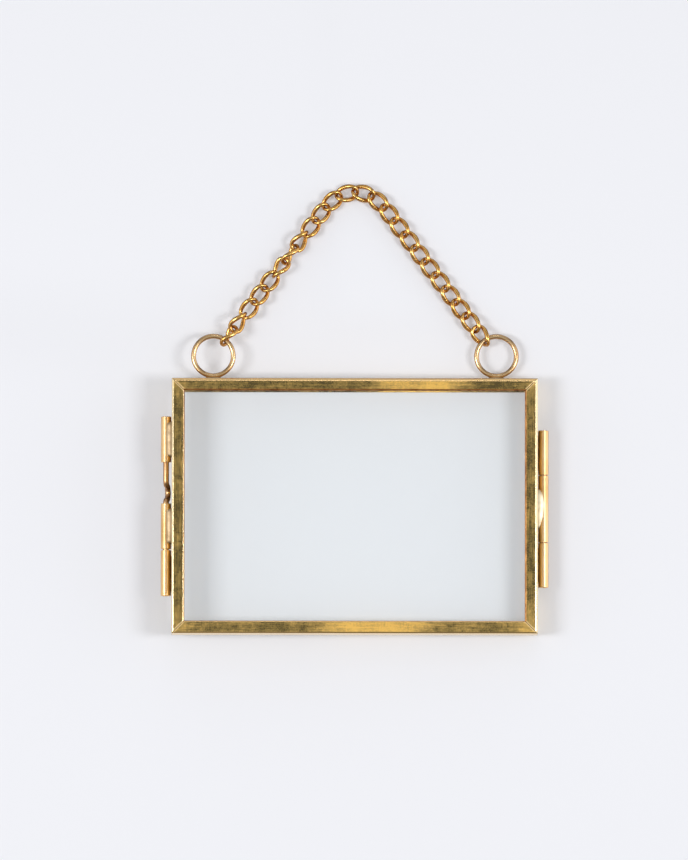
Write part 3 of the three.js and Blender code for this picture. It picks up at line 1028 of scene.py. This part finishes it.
@dataclass
class BrassTubes:
    """The six tubes of the hinge and the latch, the hinge's pin and the solder that holds the tubes."""

    bore: float = 1.9 * MM
    rim_radius: float = 0.12 * MM
    pin_edge: float = 0.25 * MM
    rim_steps: int = 3
    sides: int = 64
    solder_seat: float = 0.02 * MM
    solder_root_deg: float = 22.0
    solder_runout: float = 0.5 * MM
    solder_bulge: float = 0.16 * MM
    solder_lean: float = 0.4
    solder_lump: float = 0.03 * MM
    solder_lump_size: float = 3.6 * MM
    solder_steps: int = 8
    solder_cuts: int = 40
    # How full the groove is, how far that wanders along it, and the little that is left at the ends.
    solder_full: float = 0.92
    solder_wander: float = 0.1
    solder_wander_size: float = 2.3 * MM
    solder_wander_slice: float = 7.0
    solder_least: float = 0.02

    def build(self, bench: Bench, tube: Material, pin: Material, solder: Material, smear: Material) -> None:
        """Build the tubes, the pin and the solder.

        Args:
            bench: Where pieces are placed.
            tube: The tubes' material.
            pin: The pin's material.
            solder: The solder's material.
            smear: The material of the solder that was smeared over the middle knuckle.
        """
        joins = {
            "hinge_knuckle_top": SolderRun("hinge_solder_top", solder),
            "hinge_knuckle_middle": SolderRun("hinge_solder_middle", smear, 102.0, 1.6, 4.0),
            "hinge_knuckle_bottom": SolderRun("hinge_solder_bottom", solder),
            "latch_guide_upper": SolderRun("latch_solder_guide_upper", solder, 88.0),
            "latch_guide_lower": SolderRun("latch_solder_guide_lower", solder, 88.0),
            "latch_keeper": SolderRun("latch_solder_keeper", solder),
        }
        for node, run in joins.items():
            self._tube(bench, node, tube)
            self._fillet(bench, node, run)
        self._pin(bench, pin)

    def _tube(self, bench: Bench, node: str, material: Material) -> None:
        """Turn a tube with rounded rims.

        Args:
            bench: Where pieces are placed.
            node: The tube's node.
            material: The tube's material.
        """
        lowest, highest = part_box(node)
        outer = (highest.x - lowest.x) / 2
        bm = bmesh.new()
        wall = [bm.verts.new((radius, 0, z)) for radius, z in (
            (self.bore / 2, lowest.z), (outer, lowest.z), (outer, highest.z), (self.bore / 2, highest.z))]
        edges = [bm.edges.new(ends) for ends in zip(wall, [*wall[1:], wall[0]])]
        bmesh.ops.spin(
            bm, geom=[*wall, *edges], cent=(0, 0, 0), axis=(0, 0, 1), angle=2 * math.pi, steps=self.sides,
            use_merge=True)
        rims = [edge for edge in bm.edges if is_level(edge)
                and abs(edge.verts[0].co.xy.length - edge.verts[1].co.xy.length) < TOUCHING]
        round_edges(bm, rims, self.rim_radius, self.rim_steps)
        middle = (lowest + highest) / 2
        bmesh.ops.translate(bm, verts=bm.verts, vec=(middle.x, middle.y, 0))
        bench.place(bm, node, material, flat_faces=True)

    def _pin(self, bench: Bench, material: Material) -> None:
        """Turn the hinge's pin with rounded ends.

        Args:
            bench: Where pieces are placed.
            material: The pin's material.
        """
        lowest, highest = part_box("hinge_pin")
        radius = (highest.x - lowest.x) / 2
        bm = bmesh.new()
        bmesh.ops.create_cone(
            bm, cap_ends=True, segments=self.sides, radius1=radius, radius2=radius,
            depth=highest.z - lowest.z, matrix=Matrix.Translation((lowest + highest) / 2))
        round_edges(bm, [edge for edge in bm.edges if is_level(edge)], self.pin_edge, self.rim_steps)
        bench.place(bm, "hinge_pin", material, flat_faces=True)

    def _groove(self, radius: float, seat: float, crown_deg: float) -> list[Vector]:
        """Give the section of the solder in the groove between a tube and the wall.

        Args:
            radius: The tube's outer radius.
            seat: How far the tube's axis stands off the wall.
            crown_deg: How far round the tube the solder climbs.

        Returns:
            The corners of the section, as how far off the wall and how far along it from the axis they lie.
        """
        root = math.radians(self.solder_root_deg)
        crown = math.radians(crown_deg)
        reach = radius + self.solder_seat
        outline = [Vector((self.solder_seat, reach * math.sin(root)))]
        for step in range(self.solder_steps + 1):
            angle = root + (crown - root) * step / self.solder_steps
            outline.append(Vector((seat - reach * math.cos(angle), reach * math.sin(angle))))
        top = outline[-1]
        foot = Vector((self.solder_seat, top.y + self.solder_runout))
        for step in range(1, self.solder_steps):
            share = step / self.solder_steps
            bulge = self.solder_bulge * math.sin(math.pi * share)
            outline.append(top.lerp(foot, share) + bulge * Vector((self.solder_lean, 1)))
        return [*outline, foot]

    def _fillet(self, bench: Bench, tube: str, run: SolderRun) -> None:
        """Run solder into the groove between a tube and the wall, thinner at its ends and uneven.

        Args:
            bench: Where pieces are placed.
            tube: The tube's node.
            run: The solder, how far it climbs and how it ends.
        """
        lowest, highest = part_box(run.node)
        tube_low, tube_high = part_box(tube)
        axis = (tube_low + tube_high) / 2
        side = math.copysign(1, axis.x)
        face = math.copysign(1, (lowest.y + highest.y) / 2 - axis.y)
        wall = abs(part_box("front_rail_right")[1].x)
        outline = self._groove((tube_high.x - tube_low.x) / 2, abs(axis.x) - wall, run.crown_deg)
        anchor = outline[0]
        length = highest.z - lowest.z
        bm = extruded([(*point, lowest.z) for point in outline], Vector((0, 0, length)))
        lengthwise = [edge for edge in bm.edges if not is_level(edge)]
        bmesh.ops.subdivide_edges(bm, edges=lengthwise, cuts=self.solder_cuts, use_grid_fill=True)
        for vert in bm.verts:
            share = (vert.co.z - lowest.z) / length
            blunt = run.high_end if share > 0.5 else run.low_end
            swell = max(0.0, 1 - abs(2 * share - 1) ** blunt) ** 0.5
            lump = noise.noise(Vector((axis.x, vert.co.y, vert.co.z)) / self.solder_lump_size)
            along = vert.co.z / self.solder_wander_size
            wander = noise.noise(Vector((self.solder_wander_slice, side, along)))
            grow = swell * (self.solder_full + self.solder_wander * wander) + self.solder_least
            vert.co.x = anchor.x + (vert.co.x - anchor.x) * grow
            vert.co.y = anchor.y + (vert.co.y - anchor.y) * grow + max(0.0, self.solder_lump * lump * swell)
        place = Matrix.Translation((side * wall, axis.y, 0)) @ Matrix.Diagonal((side, face, 1, 1))
        bmesh.ops.transform(bm, matrix=place, verts=bm.verts, space=Matrix())
        bench.place(bm, run.node, run.metal)


@dataclass
class LatchBolt:
    """The bolt: one straight wire through its guides, with a thumb loop bent backwards between them."""

    wire: float = 1.56 * MM
    stop_clearance: float = 0.1 * MM
    reach: float = 3.0 * MM
    lean: float = 0.5 * MM
    upper_leg: float = 1.65 * MM
    lower_leg: float = 1.0 * MM
    leg_handle: float = 2 / 3
    turn_in: float = 1 / 6
    turn_start: float = 0.75
    steps: int = 14
    sides: int = 32
    end_radius: float = 0.35 * MM

    def build(self, bench: Bench, material: Material) -> None:
        """Bend the wire.

        Args:
            bench: Where pieces are placed.
            material: The wire's material.
        """
        bolt_low, bolt_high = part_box("latch_bolt")
        travel = bench.joints["bolt_slide"]["range_m"][1]
        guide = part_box("latch_guide_lower")
        axis = (guide[0] + guide[1]) / 2
        low = guide[1].z + self.stop_clearance
        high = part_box("latch_guide_upper")[0].z - travel - self.stop_clearance
        low_leg = low + self.lower_leg
        high_leg = high - self.upper_leg
        middle = (low_leg + high_leg) / 2
        above = (high_leg + middle) / 2
        below = (low_leg + middle) / 2

        def at(share: float, z: float) -> Vector:
            """Give a point at a share of the loop's reach."""
            return Vector((axis.x + share * self.lean, axis.y + share * self.reach, z))

        high_handle = at(0, high + (high_leg - high) * self.leg_handle)
        low_handle = at(0, low + (low_leg - low) * self.leg_handle)
        bends = (
            (at(0, high), high_handle, at(self.turn_in, high_leg), at(0.5, high_leg)),
            (at(0.5, high_leg), at(self.turn_start, high_leg), at(1, above), at(1, middle)),
            (at(1, middle), at(1, below), at(self.turn_start, low_leg), at(0.5, low_leg)),
            (at(0.5, low_leg), at(self.turn_in, low_leg), low_handle, at(0, low)),
        )
        path = [at(0, bolt_high.z)]
        for knot, handle, next_handle, next_knot in bends:
            path += interpolate_bezier(knot, handle, next_handle, next_knot, self.steps)[:-1]
        path += [at(0, low), at(0, bolt_low.z)]
        diameters = [self.wire] * len(path)
        bench.place(draw_wire(path, diameters, self.sides, self.end_radius), "latch_bolt", material)


@dataclass
class HangingRings:
    """The two wire rings on the top wall, each closed at its foot in a puddle of solder."""

    # The CAD section is a ten-sided polygon, so its depth falls a little short of the wire.
    wire: float = 1.33 * MM
    seam_gap: float = 0.01 * MM
    steps: int = 120
    sides: int = 32
    end_radius: float = 0.005 * MM
    puddle_climb: float = 0.55 * MM
    puddle_shoulder: float = 0.5
    puddle_lump: float = 0.12 * MM
    puddle_lumps: float = 2.1
    puddle_steps: int = 32

    def build(self, bench: Bench, wire: Material, solder: Material) -> None:
        """Bend the rings and run the solder under them.

        Args:
            bench: Where pieces are placed.
            wire: The rings' material.
            solder: The solder's material.
        """
        for side in (Side.LEFT, Side.RIGHT):
            self._ring(bench, f"ring_{side}", wire)
            self._puddle(bench, f"ring_{side}", f"ring_solder_{side}", solder)

    def _ring(self, bench: Bench, node: str, material: Material) -> None:
        """Bend one ring in its upright plane, open by a hair at its foot.

        Args:
            bench: Where pieces are placed.
            node: The ring's node.
            material: The ring's material.
        """
        lowest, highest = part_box(node)
        centre = (lowest + highest) / 2
        radius = (highest.x - lowest.x - self.wire) / 2
        start = self.seam_gap / 2 / radius
        path = []
        for step in range(self.steps + 1):
            angle = start + (2 * math.pi - 2 * start) * step / self.steps
            path.append(centre + radius * Vector((math.sin(angle), 0, -math.cos(angle))))
        bench.place(draw_wire(path, [self.wire] * len(path), self.sides, self.end_radius), node, material)

    def _puddle(self, bench: Bench, ring: str, node: str, material: Material) -> None:
        """Spread a lumpy puddle of solder between a ring's foot and the wall.

        Args:
            bench: Where pieces are placed.
            ring: The ring's node.
            node: The solder's node.
            material: The solder's material.
        """
        lowest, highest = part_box(node)
        bm = bmesh.new()
        bmesh.ops.create_uvsphere(
            bm, u_segments=self.puddle_steps, v_segments=self.puddle_steps // 2, radius=1.0)
        half = (highest - lowest) / 2
        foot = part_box(ring)[0].z
        base = lowest.z
        centre = Vector(((lowest.x + highest.x) / 2, (lowest.y + highest.y) / 2, base))
        for vert in bm.verts:
            lump = noise.noise(Vector((centre.x / MM, 0, 0)) + vert.co * self.puddle_lumps)
            rise = max(vert.co.z, 0.0)
            spread = 1 + self.puddle_lump / half.y * lump
            shoulder = self.puddle_shoulder * half.z * abs(vert.co.x)
            height = (foot - base + self.puddle_climb + shoulder) * rise
            vert.co = centre + Vector((vert.co.x * half.x * spread, vert.co.y * half.y * spread, height))
        bmesh.ops.remove_doubles(bm, verts=bm.verts, dist=TOUCHING)
        bench.place(bm, node, material)


@dataclass
class CurbChain:
    """The curb chain: ovals of round wire, twisted out of their plane and worn thinner in their bows."""

    links: int = 24
    wire: float = 1.26 * MM
    bow_wire: float = 0.97 * MM
    bow_power: int = 4
    cad_wire: float = 0.95 * MM
    twist: float = 0.8 * MM
    seam_gap: float = 0.05 * MM
    steps: int = 72
    sides: int = 20
    end_radius: float = 0.08 * MM

    def build(self, bench: Bench, material: Material) -> None:
        """Bend every link.

        Args:
            bench: Where pieces are placed.
            material: The links' material.
        """
        for number in range(1, self.links + 1):
            node = f"chain_link_{number:02d}"
            place, reach, spread = self._lie(bench.nodes[node])
            seam = self.seam_gap / 2 / reach
            path = []
            diameters = []
            for step in range(self.steps + 1):
                turn = math.pi / 2 + seam + (2 * math.pi - 2 * seam) * step / self.steps
                path.append(place @ Vector((
                    reach * math.cos(turn), spread * math.sin(turn), self.twist * math.sin(2 * turn))))
                flank = math.sin(turn) ** self.bow_power
                diameters.append(self.bow_wire + (self.wire - self.bow_wire) * flank)
            bench.place(draw_wire(path, diameters, self.sides, self.end_radius), node, material)

    def _lie(self, link: bpy.types.Object) -> tuple[Matrix, float, float]:
        """Read how a link lies from its CAD solid.

        Args:
            link: The CAD node's object.

        Returns:
            The link's own frame, with X along it and Z out of its plane, and the half length and half width
            of its centre line.
        """
        points = np.array([vert.co for vert in link.data.vertices])
        centre = points.mean(axis=0)
        _, _, axes = np.linalg.svd(points - centre, full_matrices=False)
        if np.linalg.det(axes) < 0:
            axes[2] = -axes[2]
        reach, spread, _ = np.abs((points - centre) @ axes.T).max(axis=0) - self.cad_wire / 2
        place = Matrix(axes.T.tolist()).to_4x4()
        place.translation = Vector(centre)
        return place, float(reach), float(spread)


@dataclass(frozen=True)
class SoftBox:
    """A soft box: where it stands as seen from the frame, how wide it looks and how bright it is."""

    name: str
    angle_deg: float
    elevation_deg: float
    width_deg: float
    height_deg: float
    radiance: float
    distance: float = 1.0

    def build(self, middle: Vector) -> None:
        """Stand the box round a point and turn it to it.

        Args:
            middle: The middle of the frame.
        """
        width = 2 * self.distance * math.tan(math.radians(self.width_deg / 2))
        height = 2 * self.distance * math.tan(math.radians(self.height_deg / 2))
        data = bpy.data.lights.new(self.name, "AREA")
        data.shape = "RECTANGLE"
        data.size = width
        data.size_y = height
        data.energy = self.radiance * math.pi * width * height
        light = add_object(self.name, data)
        side = math.radians(self.angle_deg)
        rise = math.radians(self.elevation_deg)
        out = Vector((math.sin(side) * math.cos(rise), -math.cos(side) * math.cos(rise), math.sin(rise)))
        light.location = middle + out * self.distance
        light.rotation_mode = "QUATERNION"
        light.rotation_quaternion = (-out).to_track_quat("-Z", "Y")
        light.visible_camera = False


@dataclass
class Studio:
    """A white sheet behind the frame, soft boxes beside it, and the camera that took the picture."""

    image_width_px: float = 688.0
    image_height_px: float = 860.0
    px_per_mm: float = 3.66
    frame_centre_px: tuple[float, float] = (354.7, 506.6)
    elevation_deg: float = -4.5
    roll_deg: float = 0.08
    distance: float = 5.0
    clip_distances: float = 4.0
    sensor_mm: float = 36.0
    sheet_half: float = 0.75
    sheet_cells: int = 400
    sheet_gap: float = 0.2 * MM
    sheet_lean_deg: float = 2.9
    sheet_lean_left: float = 0.12
    sheet_bend: Span = (0.0, 32.0 * MM)
    sheet_ease: float = 8.0 * MM
    sheet_limit: float = 9.0 * MM
    sheet_glow: float = 0.14
    sheet_white: str = "#eff0f5"
    # The sheet comes up to the links that lie flat: over these spans above the frame and to the right.
    flat_link: str = "chain_link_18"
    chain_gap: float = 0.2 * MM
    chain_from: Span = (9.7 * MM, 22.7 * MM)
    chain_flat: Span = (-13.0 * MM, -2.0 * MM)
    # What the brass mirrors: how bright each part of the room is, and where its edge is on a unit sphere.
    room: float = 0.52
    dim: float = 0.16
    room_edge: Span = (0.2, 0.7)
    left_wall: float = 1.0
    left_edge: Span = (-0.62, -0.9)
    right_wall: float = 1.45
    right_edge: Span = (0.62, 0.9)
    above: float = 0.75
    above_edge: Span = (0.6, 0.95)
    paper: float = 0.88
    paper_edge: Span = (-0.05, 0.15)
    paper_top: Span = (0.8, 0.95)
    paper_slant: tuple[float, float, float] = (0.0, 1.0, 3.0)
    boxes: tuple[SoftBox, ...] = (
        SoftBox("soft_box_left", -38.0, -4.0, 20.0, 12.0, 15.3),
        SoftBox("soft_box_right", 34.0, -4.0, 18.0, 12.0, 15.7),
        SoftBox("lamp_above", 1.5, 40.0, 8.0, 8.0, 3.4),
    )

    def build(self) -> None:
        """Set the camera, the sheet, the lights and the world."""
        bpy.context.scene.view_settings.view_transform = "Standard"
        self._camera()
        self._sheet()
        for box in self.boxes:
            box.build(self._frame_centre())
        self._world()

    def _frame_centre(self) -> Vector:
        """Find the middle of the closed frame.

        Returns:
            The middle.
        """
        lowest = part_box("front_rail_bottom")[0]
        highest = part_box("back_rail_top")[1]
        return Vector((0, (lowest.y + highest.y) / 2, (lowest.z + highest.z) / 2))

    def _camera(self) -> None:
        """Aim a long lens so that the frame's middle falls on its place in the picture."""
        data = bpy.data.cameras.new("picture_camera")
        camera = add_object("picture_camera", data)
        metres_per_px = MM / self.px_per_mm
        data.sensor_width = self.sensor_mm
        data.lens = self.sensor_mm * self.distance / (self.image_height_px * metres_per_px)
        data.clip_end = self.clip_distances * self.distance
        tilt = Matrix.Rotation(math.radians(90 - self.elevation_deg), 4, "X")
        turn = tilt @ Matrix.Rotation(math.radians(self.roll_deg), 4, "Z")
        right = (self.image_width_px / 2 - self.frame_centre_px[0]) * metres_per_px
        up = (self.frame_centre_px[1] - self.image_height_px / 2) * metres_per_px
        aim = self._frame_centre() + turn.to_3x3() @ Vector((right, up, 0))
        camera.matrix_world = Matrix.Translation(aim + turn.to_3x3() @ Vector((0, 0, self.distance))) @ turn
        bpy.context.scene.camera = camera

    def _sheet(self) -> None:
        """Hang the white sheet close behind the chain and the hinge side, leaning away from the latch side.

        It shows to the camera and through the glass, and is clear when it is seen from behind.
        """
        bm = bmesh.new()
        bmesh.ops.create_grid(
            bm, x_segments=self.sheet_cells, y_segments=self.sheet_cells, size=self.sheet_half,
            matrix=Matrix.Rotation(math.pi / 2, 4, "X"))
        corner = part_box("back_rail_right")[1]
        bmesh.ops.translate(bm, verts=bm.verts, vec=(0, 0, self._frame_centre().z))
        under_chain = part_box(self.flat_link)[1].y + self.chain_gap
        for vert in bm.verts:
            vert.co.y = self._depth(vert.co, corner, under_chain)
        mesh = bpy.data.meshes.new("white_sheet")
        bm.to_mesh(mesh)
        bm.free()
        mesh.shade_smooth()
        sheet = add_object("white_sheet", mesh)
        mesh.materials.append(self._card())

    def _depth(self, point: Vector, corner: Vector, under_chain: float) -> float:
        """Give how far back the sheet hangs at a point.

        Args:
            point: Where on the sheet to look, across and up.
            corner: The upper corner of the frame on its hinge side.
            under_chain: Where the sheet lies under the flat links.

        Returns:
            The sheet's place on Y.
        """
        rise = point.z - corner.z
        left = corner.x - point.x
        eased_left = (left + math.hypot(left, self.sheet_ease)) / 2
        lean = math.tan(math.radians(self.sheet_lean_deg))
        away = self.sheet_limit * math.tanh(lean * eased_left / self.sheet_limit)
        kept = 1 - (1 - self.sheet_lean_left) * ease(rise, self.sheet_bend)
        back = corner.y + self.sheet_gap + kept * away
        near = ease(rise, self.chain_from) * ease(point.x, self.chain_flat)
        return back + (under_chain - back) * near

    def _card(self) -> Material:
        """Build the sheet's matt white, clear to every ray but the camera's from its front.

        Returns:
            The material.
        """
        material = bpy.data.materials.new("white_card")
        tree = empty_tree(material)
        side = add_node(tree, "NewGeometry")
        front = add_node(tree, "Math", {"operation": "SUBTRACT", 0: 1.0}, {1: side.outputs["Backfacing"]})
        shown = add_node(
            tree, "Math", {"operation": "MULTIPLY"}, {0: self._seen(tree), 1: front.outputs["Value"]})
        clear = add_node(tree, "BsdfTransparent")
        card = add_node(tree, "BsdfDiffuse", {"Color": linear(self.sheet_white)})
        glow = add_node(tree, "Emission", {"Color": linear(self.sheet_white)})
        lit = add_node(
            tree, "MixShader", {0: self.sheet_glow}, {1: card.outputs["BSDF"], 2: glow.outputs["Emission"]})
        mixed = add_node(tree, "MixShader", links={
            0: shown.outputs["Value"], 1: clear.outputs["BSDF"], 2: lit.outputs["Shader"]})
        add_node(tree, "OutputMaterial", links={"Surface": mixed.outputs["Shader"]})
        return material

    def _seen(self, tree: Tree) -> Socket:
        """Find the rays that come from the camera, straight or through glass, before any matt surface.

        Args:
            tree: The node tree.

        Returns:
            1 for such a ray, 0 for any other.
        """
        path = add_node(tree, "LightPath")
        fresh = add_node(
            tree, "Math", {"operation": "LESS_THAN", 1: 0.5}, {0: path.outputs["Diffuse Depth"]})
        through = add_node(
            tree, "Math", {"operation": "MULTIPLY"},
            {0: path.outputs["Is Transmission Ray"], 1: fresh.outputs["Value"]})
        seen = add_node(
            tree, "Math", {"operation": "MAXIMUM"},
            {0: path.outputs["Is Camera Ray"], 1: through.outputs["Value"]})
        return seen.outputs["Value"]

    def _world(self) -> None:
        """Fill the room: white behind, above and to both sides, dim in front, plain white to the camera."""
        world = bpy.data.worlds.new("studio_room")
        bpy.context.scene.world = world
        tree = empty_tree(world)
        direction = add_node(tree, "TexCoord").outputs["Generated"]
        parts = add_node(tree, "SeparateXYZ", links={"Vector": direction})
        upright = add_node(tree, "Math", {"operation": "ABSOLUTE"}, {0: parts.outputs["Z"]})
        higher = add_node(
            tree, "VectorMath", {"operation": "DOT_PRODUCT", 1: self.paper_slant}, {0: direction})
        edges = (
            (upright.outputs["Value"], self.room_edge, (self.room, self.dim)),
            (parts.outputs["X"], self.left_edge, (0.0, self.left_wall)),
            (parts.outputs["X"], self.right_edge, (0.0, self.right_wall)),
            (parts.outputs["Z"], self.above_edge, (0.0, self.above)),
            (parts.outputs["Y"], self.paper_edge, (0.0, self.paper)),
            (higher.outputs["Value"], self.paper_top, (self.paper, 0.0)),
        )
        *levels, behind, below = (
            add_node(tree, "MapRange", smooth(span, result), {"Value": value}).outputs["Result"]
            for value, span, result in edges)
        level = add_node(tree, "Math", {"operation": "MINIMUM"}, {0: behind, 1: below})
        for other in levels:
            level = add_node(tree, "Math", {"operation": "MAXIMUM"}, {0: level.outputs["Value"], 1: other})
        lit = add_node(
            tree, "Background", {"Color": (1.0, 1.0, 1.0, 1.0)}, {"Strength": level.outputs["Value"]})
        plain = add_node(tree, "Background", {"Color": linear(self.sheet_white)})
        mixed = add_node(tree, "MixShader", links={
            0: self._seen(tree), 1: lit.outputs["Background"], 2: plain.outputs["Background"]})
        add_node(tree, "OutputWorld", links={"Surface": mixed.outputs["Shader"]})


def main() -> None:
    """Build the frame's pieces around the CAD model and light them."""
    logging.basicConfig(level=logging.INFO, format="%(name)s: %(message)s")
    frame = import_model()
    Studio().build()
    bench = Bench(frame)
    sheet = {run: SheetBrass().make(run) for run in Run}
    hem_shade = HEM_SHADE_BRASS.make(Run.ACROSS)
    glass = FloatGlass().make()
    solder = SOLDER.make(Run.UPRIGHT)
    for name in Leaf:
        GlazedLeaf(name).build(bench, sheet, hem_shade, glass)
    drawn_wire = BOLT_BRASS.make(Run.UPRIGHT)
    smear = SMEARED_SOLDER.make(Run.UPRIGHT)
    BrassTubes().build(bench, TUBE_BRASS.make(Run.UPRIGHT), drawn_wire, solder, smear)
    LatchBolt().build(bench, drawn_wire)
    HangingRings().build(bench, RING_BRASS.make(Run.ACROSS), solder)
    CurbChain().build(bench, CHAIN_BRASS.make(Run.ACROSS))


if __name__ == "__main__":
    main()
